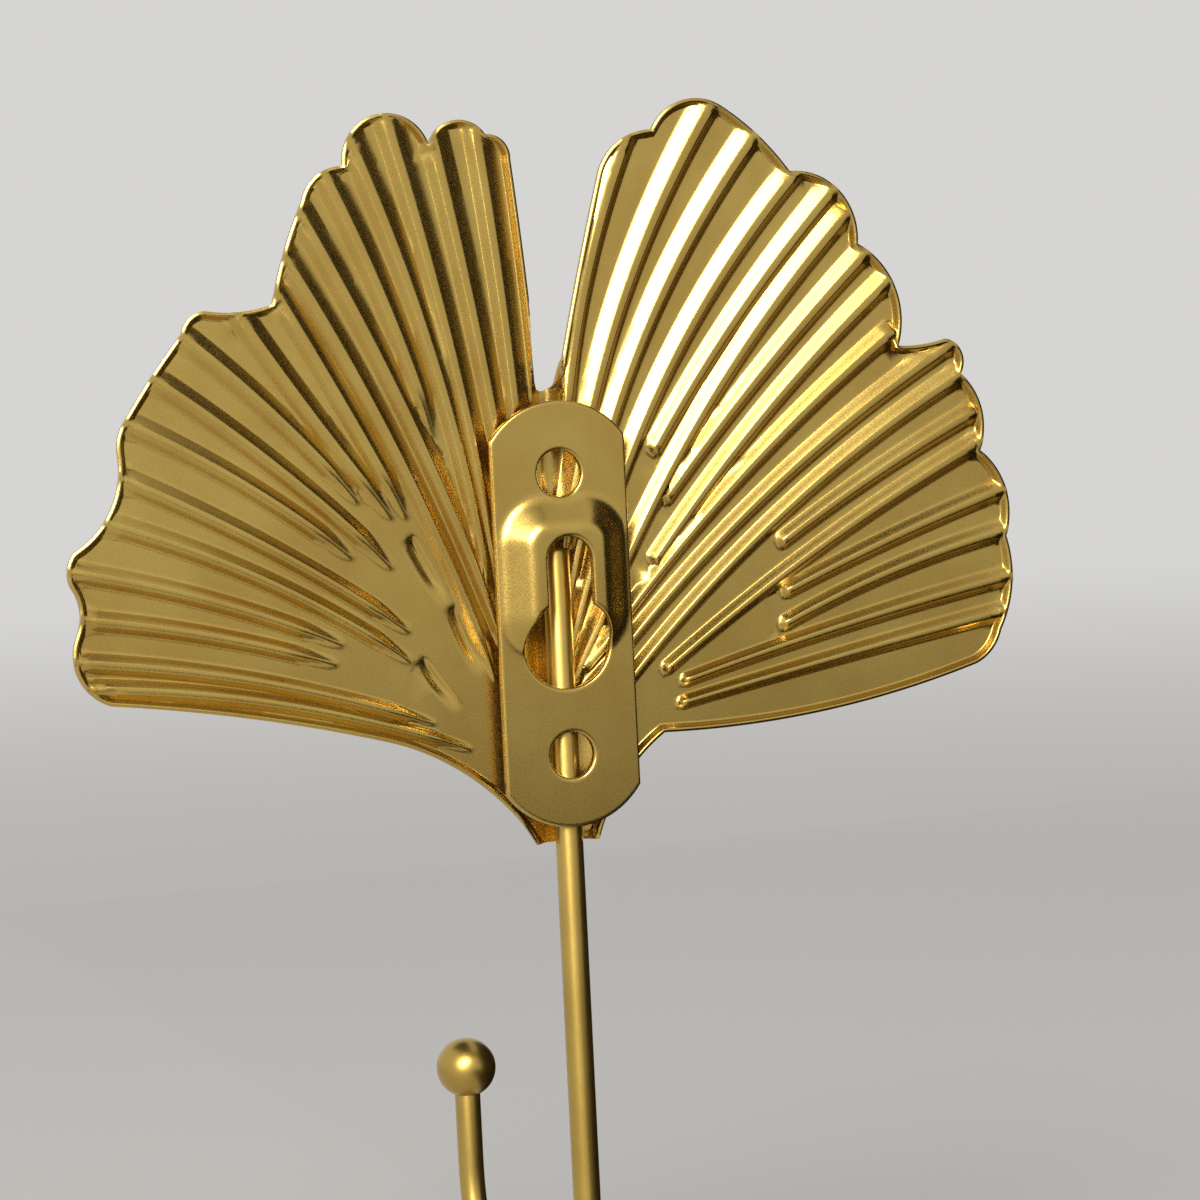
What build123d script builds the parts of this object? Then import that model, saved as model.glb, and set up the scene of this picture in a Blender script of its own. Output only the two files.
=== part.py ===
from build123d import *
import math
import os

os.makedirs("parts", exist_ok=True)

# Ginkgo-leaf wall hook, in millimetres.
# +Z is up and +Y points to the wall. The origin is the screw seat at the top of the keyhole, on the wall plane.
# Seen from behind, +X is to the left, and so is the left lobe of the leaf.

# Hook wire
wire_diameter = 3.0
wire_top = 1.0
wire_end_chamfer = 0.3
hook_reach = 40.0
bend_height = -74.0

# Ball on the front end of the wire
ball_diameter = 7.0
ball_height = -62.5
socket_depth = 4.0
socket_clearance = 0.05

# Hanger plate
plate_width = 15.4
plate_length = 46.2
plate_centre = -6.0
plate_thickness = 1.0
plate_end_radius = 9.3
plate_hole_diameter = 5.0
plate_hole_pitch = 30.5

# Raised boss of the hanger plate, which makes room for the screw head
boss_height = 2.2
boss_centre = -1.9
boss_foot_width = 14.4
boss_foot_length = 17.0
boss_foot_corner = 3.0
boss_crest_width = 7.6
boss_crest_length = 10.2
boss_crest_corner = 2.0
boss_edge_radius = 0.8

# Keyhole
slot_width = 5.1
keyhole_diameter = 9.8
keyhole_drop = 9.1

# Leaf sheet
sheet_thickness = 0.6
lip_width = 0.6
rib_height = 1.25
rib_root = 0.2
dimple_depth = 0.5
base_half_width = 3.6
base_height = -31.0
notch_half_width = 1.2
notch_height = 19.0
notch_depth = 1.0
channel_clearance = 0.05
plate_gap = 0.4

# Rim of each lobe as a chain of arcs: a point on the arc, then its end, from the notch round to the base
left_rim = (
    (2.0, 31.0), (3.1, 43.0),
    (4.0, 45.2), (5.8, 45.8),
    (7.8, 47.3), (12.2, 45.0),
    (15.5, 48.2), (21.8, 43.0),
    (24.5, 42.3), (26.5, 39.5),
    (28.6, 34.6), (30.3, 28.8),
    (34.0, 28.2), (37.8, 28.5),
    (39.4, 27.8), (40.3, 26.2),
    (43.7, 22.0), (46.8, 17.6),
    (47.6, 16.1), (47.8, 14.0),
    (48.9, 8.3), (53.0, 4.2),
    (53.8, 2.5), (53.2, 0.0),
    (52.7, -2.2), (53.2, -4.5),
    (53.2, -9.0), (50.0, -12.0),
    (35.3, -14.5), (20.5, -18.2),
    (11.0, -22.9),
)
right_rim = (
    (4.1, 31.0), (6.7, 40.5),
    (8.8, 44.1), (13.3, 45.7),
    (18.0, 48.9), (21.5, 48.0),
    (25.8, 44.6), (29.3, 40.6),
    (34.6, 38.8), (37.1, 32.3),
    (41.4, 27.4), (41.5, 20.8),
    (44.5, 20.8), (47.3, 21.3),
    (48.9, 20.3), (49.0, 17.3),
    (51.3, 13.7), (51.0, 8.6),
    (54.0, 4.2), (53.8, -1.2),
    (54.4, -5.5), (52.7, -11.7),
    (51.4, -14.0), (49.5, -15.3),
    (30.0, -19.2), (11.5, -19.9),
    (6.9, -24.2),
)

# Ribs and dimples: their half width grows with the distance from the base, and their crest is a share of it
rib_foot = 0.5
rib_growth = 0.0085
rib_crest_share = 0.28
rib_end_slope = 0.5

# Each rib: where it starts, where it runs out past the rim, and its bow towards the notch
left_ribs = (
    ((3.3, 7.0), (7.1, 47.4), 0.4),
    ((5.0, 5.0), (12.4, 48.2), 0.5),
    ((7.4, 3.0), (17.4, 49.6), 0.8),
    ((8.8, 2.8), (21.6, 47.0), 1.4),
    ((13.1, 13.6), (25.2, 44.6), 0.8),
    ((8.1, -4.2), (28.4, 40.8), 1.1),
    ((10.8, -3.6), (30.6, 36.6), 1.1),
    ((16.5, 5.2), (31.0, 31.8), 0.2),
    ((18.1, 5.3), (35.0, 29.2), -0.3),
    ((21.7, 7.2), (41.6, 27.0), 0.7),
    ((18.4, 0.0), (45.0, 22.6), 0.9),
    ((22.7, 1.4), (48.0, 17.9), 0.9),
    ((16.8, -6.9), (50.0, 12.7), 1.0),
    ((16.8, -10.1), (52.0, 7.8), 1.7),
    ((24.2, -7.7), (55.0, 2.5), 1.0),
    ((25.0, -9.7), (55.0, -2.5), 0.8),
    ((14.5, -16.9), (55.0, -7.1), 1.4),
)
right_ribs = (
    ((1.7, 9.0), (11.2, 46.6), 1.8),
    ((2.4, 4.5), (20.8, 48.6), 2.6),
    ((2.7, -1.0), (26.9, 46.4), 3.3),
    ((2.8, -6.5), (32.0, 42.3), 3.7),
    ((11.7, 10.4), (35.4, 39.2), 1.0),
    ((3.2, -10.8), (36.6, 36.2), 2.7),
    ((12.8, 5.1), (39.2, 32.2), 0.7),
    ((11.1, -1.6), (41.4, 28.6), 1.2),
    ((3.6, -11.6), (41.6, 22.8), 1.7),
    ((4.0, -14.1), (49.2, 21.2), 2.5),
    ((6.0, -15.9), (50.0, 17.6), 2.5),
    ((26.1, -0.4), (51.2, 13.2), 0.5),
    ((11.8, -13.4), (52.2, 10.0), 1.1),
    ((26.3, -5.8), (55.0, 4.4), 0.4),
    ((25.9, -9.4), (55.0, -0.4), 0.9),
    ((13.8, -14.6), (55.4, -5.6), 0.5),
    ((13.3, -17.0), (54.0, -9.6), 0.2),
)

# Short dimples between the left lobe's ribs and the stem, pressed the other way
left_dimples = (
    ((16.0, 3.0), (12.8, -2.9), 0.2),
    ((11.7, -4.8), (9.3, -10.5), 0.2),
    ((15.5, -10.3), (12.2, -14.6), 0.2),
)

# Depths, measured forwards from the wall plane
plate_depth = boss_height
wire_depth = plate_depth + plate_thickness + wire_diameter / 2
land_depth = plate_depth + plate_thickness + plate_gap + rib_height
upright_depth = wire_depth + hook_reach
upright_top = ball_height - ball_diameter / 2 + socket_depth


def facing_wall(depth, height=0):
    """Sketch plane parallel to the wall, with X across and Z up."""
    return Plane((0, -depth, height), x_dir=(1, 0, 0), z_dir=(0, -1, 0))


def rim_arcs(side, start, rim, end):
    """Chain of arcs from start to end, where rim alternates a point on the arc and its far end."""
    points = [start] + [(side * x, z) for x, z in rim] + [end]
    for first in range(0, len(points) - 1, 2):
        ThreePointArc(*points[first:first + 3])


def beside_rib(start, end, bow, place, share):
    """Point beside a rib, at a place from 0 at its start to 1 at its end and at a share of its half width."""
    length = math.dist(start, end)
    along_x = (end[0] - start[0]) / length
    along_z = (end[1] - start[1]) / length
    rise = 4 * bow * place * (1 - place)
    x = start[0] + along_x * length * place - along_z * rise
    z = start[1] + along_z * length * place + along_x * rise
    lean = 2 * math.atan(2 * bow / length) * (1 - 2 * place)
    off = share * (rib_foot + rib_growth * math.dist((x, z), (0, base_height)))
    x -= off * (along_z * math.cos(lean) + along_x * math.sin(lean))
    z += off * (along_x * math.cos(lean) - along_z * math.sin(lean))
    return (x, z)


def rib_plan(depth, share, trim, side, start, end, bow):
    """Long plan of a rib, which bows and widens on its way out."""
    inset = trim / math.dist(start, end)
    places = (inset, 0.5, 1 - inset)
    edges = []
    for edge_share in (share, -share):
        points = [beside_rib(start, end, bow, place, edge_share) for place in places]
        edges.append([(side * x, z) for x, z in points])
    near, far = edges
    with BuildSketch(facing_wall(depth)) as plan:
        with BuildLine():
            ThreePointArc(*near)
            Line(near[-1], far[-1])
            ThreePointArc(*far)
            Line(far[0], near[0])
        make_face()
    return plan.sketch


def rib(foot_depth, crest_depth, side, line):
    """Solid rib from one depth to another, wide at its foot and narrow at its crest."""
    foot = rib_plan(foot_depth, 1, 0, side, *line)
    crest = rib_plan(crest_depth, rib_crest_share, rib_end_slope, side, *line)
    loft([foot, crest], ruled=True)


# Outline of the leaf: both lobes, the notch between them and the narrow base
left_notch = (notch_half_width, notch_height)
right_notch = (-notch_half_width, notch_height)
left_base = (base_half_width, base_height)
right_base = (-base_half_width, base_height)
with BuildSketch() as outline:
    with BuildLine():
        rim_arcs(1, left_notch, left_rim, left_base)
        Line(left_base, right_base)
        rim_arcs(-1, right_notch, right_rim, right_base)
        ThreePointArc(left_notch, (0, notch_height - notch_depth), right_notch)
    make_face()

# Area inside the turned lip
with BuildSketch() as inside:
    add(outline.sketch)
    offset(amount=-lip_width, mode=Mode.REPLACE)

# Ribs of both lobes, cut off at the lip
with BuildPart() as ribs:
    for line in left_ribs:
        rib(land_depth + rib_root, land_depth - rib_height, 1, line)
    for line in right_ribs:
        rib(land_depth + rib_root, land_depth - rib_height, -1, line)
    with BuildSketch(facing_wall(land_depth + rib_root)):
        add(inside.sketch)
    extrude(amount=-(rib_root + rib_height), mode=Mode.INTERSECT)

# Dimples by the stem
with BuildPart() as dimples:
    for line in left_dimples:
        rib(land_depth - rib_root, land_depth + dimple_depth, 1, line)

# Half-round channel that the stem lies in
channel_radius = wire_diameter / 2 + channel_clearance
with BuildPart() as channel:
    with BuildSketch(Plane((0, -wire_depth, base_height))):
        Circle(channel_radius + sheet_thickness)
    extrude(amount=wire_top - base_height)
    with Locations((0, -wire_depth, wire_top)):
        Sphere(channel_radius + sheet_thickness)
    split(bisect_by=facing_wall(land_depth), keep=Keep.TOP)

# Space that the stem takes, open to the back
with BuildPart() as stem_space:
    with BuildSketch(Plane((0, -wire_depth, base_height))):
        Circle(channel_radius)
        Rectangle(2 * channel_radius, wire_diameter, align=(Align.CENTER, Align.MIN))
    extrude(amount=wire_top - base_height)
    with Locations((0, -wire_depth, wire_top)):
        Sphere(channel_radius)

# Leaf: sheet, turned lip, ribs pressed up from the front, dimples pressed in from the back, and the channel
with BuildPart() as leaf:
    with BuildSketch(facing_wall(land_depth)):
        add(outline.sketch)
    extrude(amount=sheet_thickness)
    with BuildSketch(facing_wall(land_depth)):
        add(outline.sketch)
        add(inside.sketch, mode=Mode.SUBTRACT)
    extrude(amount=-rib_height)
    add(ribs.part)
    add(ribs.part.moved(Location((0, -sheet_thickness, 0))), mode=Mode.SUBTRACT)
    add(dimples.part.moved(Location((0, -sheet_thickness, 0))))
    add(dimples.part, mode=Mode.SUBTRACT)
    add(channel.part)
    add(stem_space.part, mode=Mode.SUBTRACT)
leaf.part.label = "leaf"
export_step(leaf.part, "parts/leaf.step")

# Boss of the hanger plate as a solid block
with BuildPart() as boss:
    with BuildSketch(facing_wall(plate_depth, boss_centre)):
        RectangleRounded(boss_foot_width, boss_foot_length, boss_foot_corner)
    with BuildSketch(facing_wall(0, boss_centre)):
        RectangleRounded(boss_crest_width, boss_crest_length, boss_crest_corner)
    loft()
    fillet(boss.faces().sort_by(Axis.Y)[-1].edges(), boss_edge_radius)

# Hanger plate: strip with round ends, hollow boss, two holes and a keyhole
half_width = plate_width / 2
half_length = plate_length / 2
corner_height = half_length - plate_end_radius + math.sqrt(plate_end_radius ** 2 - half_width ** 2)
with BuildPart() as hanger_plate:
    with BuildSketch(facing_wall(plate_depth, plate_centre)):
        with BuildLine():
            ThreePointArc((half_width, corner_height), (0, half_length), (-half_width, corner_height))
            Line((-half_width, corner_height), (-half_width, -corner_height))
            ThreePointArc((-half_width, -corner_height), (0, -half_length), (half_width, -corner_height))
            Line((half_width, -corner_height), (half_width, corner_height))
        make_face()
    extrude(amount=plate_thickness)
    add(boss.part)
    add(boss.part.moved(Location((0, -plate_thickness, 0))), mode=Mode.SUBTRACT)
    with BuildSketch(facing_wall(plate_depth, plate_centre)):
        with GridLocations(0, plate_hole_pitch, 1, 2):
            Circle(plate_hole_diameter / 2)
    extrude(amount=plate_thickness, mode=Mode.SUBTRACT)
    with BuildSketch(facing_wall(0, -keyhole_drop)):
        Circle(keyhole_diameter / 2)
        SlotCenterPoint((0, keyhole_drop / 2), (0, keyhole_drop), slot_width)
    extrude(amount=plate_depth + plate_thickness, mode=Mode.SUBTRACT)
hanger_plate.part.label = "hanger_plate"
export_step(hanger_plate.part, "parts/hanger_plate.step")

# Hook wire: straight stem, J bend and front upright
with BuildPart() as hook_wire:
    with BuildLine(Plane.YZ):
        Line((-wire_depth, wire_top), (-wire_depth, bend_height))
        bend_bottom = (-wire_depth - hook_reach / 2, bend_height - hook_reach / 2)
        ThreePointArc((-wire_depth, bend_height), bend_bottom, (-upright_depth, bend_height))
        Line((-upright_depth, bend_height), (-upright_depth, upright_top))
    with BuildSketch(Plane((0, -wire_depth, wire_top))):
        Circle(wire_diameter / 2)
    sweep()
    chamfer(hook_wire.edges().group_by(Axis.Z)[-1], wire_end_chamfer)
hook_wire.part.label = "hook_wire"
export_step(hook_wire.part, "parts/hook_wire.step")

# Ball with a blind bore that sits on the end of the upright
with BuildPart() as ball_tip:
    with Locations((0, -upright_depth, ball_height)):
        Sphere(ball_diameter / 2)
    with Locations((0, -upright_depth, upright_top)):
        bore_radius = wire_diameter / 2 + socket_clearance
        bore_align = (Align.CENTER, Align.CENTER, Align.MAX)
        Cylinder(bore_radius, socket_depth, align=bore_align, mode=Mode.SUBTRACT)
ball_tip.part.label = "ball_tip"
export_step(ball_tip.part, "parts/ball_tip.step")
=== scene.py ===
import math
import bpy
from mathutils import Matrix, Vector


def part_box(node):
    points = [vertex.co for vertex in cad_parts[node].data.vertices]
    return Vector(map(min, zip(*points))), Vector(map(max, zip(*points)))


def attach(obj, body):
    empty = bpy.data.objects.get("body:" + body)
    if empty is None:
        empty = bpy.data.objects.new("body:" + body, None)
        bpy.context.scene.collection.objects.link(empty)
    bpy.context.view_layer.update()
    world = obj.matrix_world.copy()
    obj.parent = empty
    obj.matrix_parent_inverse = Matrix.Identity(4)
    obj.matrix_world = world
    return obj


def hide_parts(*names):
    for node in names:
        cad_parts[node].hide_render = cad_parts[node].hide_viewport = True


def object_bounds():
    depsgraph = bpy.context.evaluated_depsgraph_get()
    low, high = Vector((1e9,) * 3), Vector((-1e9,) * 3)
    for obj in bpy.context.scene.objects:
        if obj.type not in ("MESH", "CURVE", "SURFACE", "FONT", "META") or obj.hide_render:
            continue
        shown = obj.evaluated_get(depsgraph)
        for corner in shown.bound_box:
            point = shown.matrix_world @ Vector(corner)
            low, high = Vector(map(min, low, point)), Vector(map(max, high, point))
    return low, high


bl_info = {
    "name": "Leaf wall hook",
    "version": (1, 0, 0),
    "blender": (4, 5, 0),
    "location": "3D View > Sidebar > Wall hook",
    "description": "Builds the looks of a ginkgo-leaf wall hook around its packed CAD frame",
    "category": "Object",
}

import bpy
import numpy as np
from bpy.props import FloatProperty, FloatVectorProperty, PointerProperty, StringProperty
from mathutils import Matrix, Quaternion, Vector
from mathutils.geometry import delaunay_2d_cdt

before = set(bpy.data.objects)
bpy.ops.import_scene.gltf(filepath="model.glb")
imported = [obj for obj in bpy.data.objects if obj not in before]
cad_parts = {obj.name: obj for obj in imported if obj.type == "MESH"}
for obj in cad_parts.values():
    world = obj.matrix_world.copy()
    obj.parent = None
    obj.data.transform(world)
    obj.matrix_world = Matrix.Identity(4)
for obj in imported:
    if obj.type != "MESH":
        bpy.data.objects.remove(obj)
cad_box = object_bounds()

MM = 0.001

# Places taken from the CAD frame, in millimetres
leaf_low, leaf_high = (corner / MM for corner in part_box("leaf"))
plate_low, plate_high = (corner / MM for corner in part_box("hanger_plate"))
wire_low, wire_high = (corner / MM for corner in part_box("hook_wire"))
ball_low, ball_high = (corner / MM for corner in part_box("ball_tip"))
wire_radius = wire_high.x
wire_depth = -wire_high.y + wire_radius
wire_top = wire_high.z
hook_reach = wire_high.y - wire_low.y - 2 * wire_radius
upright_depth = wire_depth + hook_reach
ball_radius = ball_high.x
base_height = leaf_low.z

# Leaf blank: the rim of each lobe as a chain of arcs, a point on the arc and then its end, from notch to base
BASE_HALF_WIDTH = 3.6
NOTCH_HALF_WIDTH = 1.2
NOTCH_HEIGHT = 19.0
NOTCH_DEPTH = 1.0
LEFT_RIM = (
    (2.0, 31.0), (3.1, 43.0),
    (4.0, 45.2), (5.8, 45.8),
    (7.8, 47.3), (12.2, 45.0),
    (15.5, 48.2), (21.8, 43.0),
    (24.5, 42.3), (26.5, 39.5),
    (28.6, 34.6), (30.3, 28.8),
    (34.0, 28.2), (37.8, 28.5),
    (39.4, 27.8), (40.3, 26.2),
    (43.7, 22.0), (46.8, 17.6),
    (47.6, 16.1), (47.8, 14.0),
    (48.9, 8.3), (53.0, 4.2),
    (53.8, 2.5), (53.2, 0.0),
    (52.7, -2.2), (53.2, -4.5),
    (53.2, -9.0), (50.0, -12.0),
    (35.3, -14.5), (20.5, -18.2),
    (11.0, -22.9),
)
RIGHT_RIM = (
    (4.1, 31.0), (6.7, 40.5),
    (8.8, 44.1), (13.3, 45.7),
    (18.0, 48.9), (21.5, 48.0),
    (25.8, 44.6), (29.3, 40.6),
    (34.6, 38.8), (37.1, 32.3),
    (41.4, 27.4), (41.5, 20.8),
    (44.5, 20.8), (47.3, 21.3),
    (48.9, 20.3), (49.0, 17.3),
    (51.3, 13.7), (51.0, 8.6),
    (54.0, 4.2), (53.8, -1.2),
    (54.4, -5.5), (52.7, -11.7),
    (51.4, -14.0), (49.5, -15.3),
    (30.0, -19.2), (11.5, -19.9),
    (6.9, -24.2),
)

# The lip's flank lies between these distances from the cut edge. The edge itself is broken by a small drop, a
# share of the lip's height
LIP_FLANK = (0.35, 0.85)
LIP_EDGE = 0.2
LIP_EDGE_DROP = 0.12

# Channel for the stem, with some room round the wire, and the lands' dip towards it behind the plate. The dip
# runs out between the two heights of its top
CHANNEL_SIDE_ROOM = 0.25
CHANNEL_DEPTH_ROOM = 0.1
TROUGH_DEPTH = 1.5
TROUGH_HALF_WIDTH = 5.8
TROUGH_TOP = (12.0, 17.0)
TROUGH_ROUNDING = 0.2
channel_half = wire_radius + CHANNEL_SIDE_ROOM

# Ribs and dimples: half width at the base and its growth per millimetre from there. Crest and feet are shares
# of it; the flank towards the notch is the wider one, the more so the steeper the rib stands. The lands lie
# below the highest place of the CAD leaf by the drop
LAND_DROP = 1.25
RIB_FOOT = 0.5
RIB_GROWTH = 0.0085
RIB_CREST = 0.28
OUTER_FOOT = 1.2
NOTCH_FOOT = 1.25
NOTCH_FOOT_UPRIGHT = 0.9
RIB_END = 0.7
LEFT_TAPER = 5.0
TAPER_WIDTH = 0.35

# A dimple's wall towards the stem is the steep one, and its lower end runs out
DIMPLE_FLOOR = 0.15
DIMPLE_OUTER = 1.5
DIMPLE_INNER = 0.8
DIMPLE_START = 1.4
DIMPLE_END = 4.5

# Each rib: where it starts, where it runs out past the rim, and its bow towards the notch
LEFT_RIBS = (
    ((3.3, 7.0), (7.1, 47.4), 0.4),
    ((5.0, 5.0), (12.4, 48.2), 0.5),
    ((6.1, -5.9), (17.4, 49.6), 1.1),
    ((7.5, -5.1), (21.6, 47.0), 1.9),
    ((13.1, 13.6), (25.2, 44.6), 0.8),
    ((5.5, -11.8), (28.4, 40.8), 1.5),
    ((7.4, -13.0), (30.6, 36.6), 1.6),
    ((16.5, 5.2), (31.0, 31.8), 0.2),
    ((18.1, 5.3), (35.0, 29.2), -0.3),
    ((21.7, 7.2), (41.6, 27.0), 0.7),
    ((18.4, 0.0), (45.0, 22.6), 0.9),
    ((22.7, 1.4), (48.0, 17.9), 0.9),
    ((16.8, -6.9), (50.0, 12.7), 1.0),
    ((16.8, -10.1), (52.0, 7.8), 1.7),
    ((24.2, -7.7), (55.0, 2.5), 1.0),
    ((25.0, -9.7), (55.0, -2.5), 0.8),
    ((14.5, -16.9), (55.0, -7.1), 1.4),
    ((10.5, -20.0), (53.5, -10.0), 1.7),
)
RIGHT_RIBS = (
    ((1.9, 14.0), (11.2, 46.6), 1.4),
    ((1.2, -2.4), (20.8, 48.6), 3.4),
    ((1.1, -7.8), (26.9, 46.4), 4.2),
    ((1.1, -12.3), (32.0, 42.3), 4.5),
    ((11.7, 10.4), (35.4, 39.2), 1.0),
    ((1.1, -15.3), (36.6, 36.2), 3.2),
    ((12.8, 5.1), (39.2, 32.2), 0.7),
    ((11.1, -1.6), (41.4, 28.6), 1.2),
    ((2.8, -12.6), (41.6, 22.8), 1.8),
    ((2.9, -15.3), (49.2, 21.2), 2.6),
    ((6.0, -15.9), (50.0, 17.6), 2.5),
    ((26.1, -0.4), (51.2, 13.2), 0.5),
    ((11.8, -13.4), (52.2, 10.0), 1.1),
    ((26.3, -5.8), (55.0, 4.4), 0.4),
    ((25.9, -9.4), (55.0, -0.4), 0.9),
    ((13.8, -14.6), (55.4, -5.6), 0.5),
    ((13.3, -17.0), (54.0, -9.6), 0.2),
)

# Short dimples between the left lobe's ribs and the stem, pressed the other way
LEFT_DIMPLES = (
    ((16.4, 3.6), (12.2, -4.2), 0.2),
    ((12.0, -4.2), (8.7, -12.0), 0.2),
    ((15.8, -9.6), (11.4, -15.6), 0.2),
)

# Hanger plate: holes and boss, measured from the screw seat
PLATE_END_RADIUS = 9.3
PLATE_GAUGE = 1.0
HOLE_DIAMETER = 5.0
HOLE_PITCH = 30.5
SLOT_WIDTH = 5.1
KEYHOLE_DIAMETER = 9.8
KEYHOLE_DROP = 9.1
BOSS_CENTRE = -1.9
BOSS_FOOT = (15.2, 18.2)
BOSS_FOOT_CORNER = 5.4
BOSS_FLANK = 4.0
BOSS_ROUNDING = 0.25

# Rim left round the wire at the mouth of the ball
MOUTH_RIM = 0.08

# Mesh spacing of the sheets, in millimetres. Flank lines are shares of the flank, the channel's reach is a
# share of its half width, and a row along an edge loses points that come nearer to it than the slack's share
RIM_STEP = 0.5
RIM_CLEAR = 0.2
LIP_LINES = (0.1, 0.2, 0.35, 0.43, 0.6, 0.77, 0.86, 1.0)
LIP_CLEAR = 0.25
ROW_SLACK = 0.93
RIB_STEP = 1.2
RIB_END_STEPS = (-0.4, 0.0, 0.25, 0.5, 0.8)
FLANK_LINES = (0.0, 0.07, 0.15, 0.5, 0.85, 0.93, 1.0, 1.25)
CHANNEL_STEP = 0.7
CHANNEL_LINES = 21
CHANNEL_REACH = 1.25
TROUGH_STEP = 0.9
TROUGH_LINES = (2.8, 3.6, 4.4, 5.2, 5.7, 6.3)
PLATE_STEP = 0.4
PLATE_EDGE_ROW = 0.5
PLATE_GRID_CLEAR = 0.8

# Triangles are kept within the loops only, points closer than the gap become one, and distances are worked out
# for one block of points at a time
CUT_TO_LOOPS = 1
MERGE_GAP = 1e-5
POINT_BLOCK = 2000

# Mesh of the wire and ball, rounding of edges, and the angles in degrees from which an edge is rounded or
# stays hard
WIRE_SIDES = 40
BEND_STEPS = 64
WELD_GAP = 0.001
BALL_SEGMENTS = 64
BALL_RINGS = 40
EDGE_SEGMENTS = 3
EDGE_ANGLE = 60
CUT_CREASE = 40
SOFT_CREASE = 50

# Gold coating: sizes in millimetres, the middle part of each noise that is spread over the full range, and
# how far the grain moves the roughness
PATCH_SIZE = 9.0
PATCH_DETAIL = 3.0
PATCH_RANGE = (0.35, 0.65)
GRAIN_SIZE = 0.2
GRAIN_DETAIL = 2.0
GRAIN_RANGE = (0.3, 0.7)
GRAIN_DEPTH = 0.02
ROUGHNESS_SPREAD = (-0.04, 0.06)
LACQUER_ROUGHNESS = 0.25

# Paper: radius of the sheet and of the fade into the backdrop, in metres
FLOOR_RADIUS = 3.0
FLOOR_SIDES = 96
PAPER_FADE = (0.3, 1.3)
PAPER_ROUGHNESS = 0.9
PAPER_SPECULAR = 0.1

# Lamps: direction from the screw seat, distance and size in millimetres, roll in degrees, power in watts
LAMP_COLOUR = "#FFFBF6"
KEY_LAMP = ((0.42, 0.79, 0.44), 650, (260, 500), -48, 6.0)
SOFT_LAMP = ((0.42, 0.5, 0.75), 700, (400, 400), 0, 2.2)

# Cards, in millimetres: the side card stands on the floor, and the floor card lies just above it
SIDE_CARD_X = -330
SIDE_CARD_Y = (-450, 320)
SIDE_CARD_TOP = 420
TOP_CARD_X = (-150, 260)
TOP_CARD_Y = (-450, 200)
TOP_CARD_Z = 480
FLOOR_CARD_X = (-330, -20)
FLOOR_CARD_Y = (-420, 480)
FLOOR_CARD_LIFT = 0.5

# Camera: side of the square frame in pixels, and its near clip in metres
FRAME_PIXELS = 1200
CAMERA_CLIP = 0.01


# Flat geometry

def arc_points(start, middle, end, step):
    """Points along the arc through three points, without the last one."""
    (ax, ay), (bx, by), (cx, cy) = start, middle, end
    area = 2 * (ax * (by - cy) + bx * (cy - ay) + cx * (ay - by))
    a2, b2, c2 = ax * ax + ay * ay, bx * bx + by * by, cx * cx + cy * cy
    ux = (a2 * (by - cy) + b2 * (cy - ay) + c2 * (ay - by)) / area
    uy = (a2 * (cx - bx) + b2 * (ax - cx) + c2 * (bx - ax)) / area
    radius = math.hypot(ax - ux, ay - uy)
    first = math.atan2(ay - uy, ax - ux)
    through = (math.atan2(by - uy, bx - ux) - first) % math.tau
    sweep = (math.atan2(cy - uy, cx - ux) - first) % math.tau
    if through > sweep:
        sweep -= math.tau
    count = max(3, round(abs(sweep) * radius / step))
    angles = [first + sweep * i / count for i in range(count)]
    return [(ux + radius * math.cos(a), uy + radius * math.sin(a)) for a in angles]


def line_points(start, end, step):
    """Points along a straight line, without the last one."""
    count = max(1, round(math.dist(start, end) / step))
    return [(start[0] + (end[0] - start[0]) * i / count, start[1] + (end[1] - start[1]) * i / count)
            for i in range(count)]


def circle_points(centre, diameter, step):
    """Closed loop of points round a circle."""
    count = round(math.pi * diameter / step)
    angles = [math.tau * i / count for i in range(count)]
    return [(centre[0] + diameter / 2 * math.cos(a), centre[1] + diameter / 2 * math.sin(a)) for a in angles]


def rim_points(side, start, rim, end, step):
    """Points along one lobe's rim, from notch to base, without the last one."""
    chain = [start] + [(side * x, z) for x, z in rim] + [end]
    points = []
    for first in range(0, len(chain) - 1, 2):
        points += arc_points(*chain[first:first + 3], step)
    return points


def leaf_rims(step):
    """Both lobes' rims, each from the notch to the base, as open chains of points."""
    rims = []
    for side, rim in ((1, LEFT_RIM), (-1, RIGHT_RIM)):
        notch = (side * NOTCH_HALF_WIDTH, NOTCH_HEIGHT)
        base = (side * BASE_HALF_WIDTH, base_height)
        rims.append(rim_points(side, notch, rim, base, step) + [base])
    return rims


def leaf_loop(step):
    """Outline of the leaf as one closed loop of points."""
    left, right = leaf_rims(step)
    across = line_points(left[-1], right[-1], step)
    bottom = arc_points(right[0], (0.0, NOTCH_HEIGHT - NOTCH_DEPTH), left[0], step)
    return left[:-1] + across + right[:0:-1] + bottom


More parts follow.
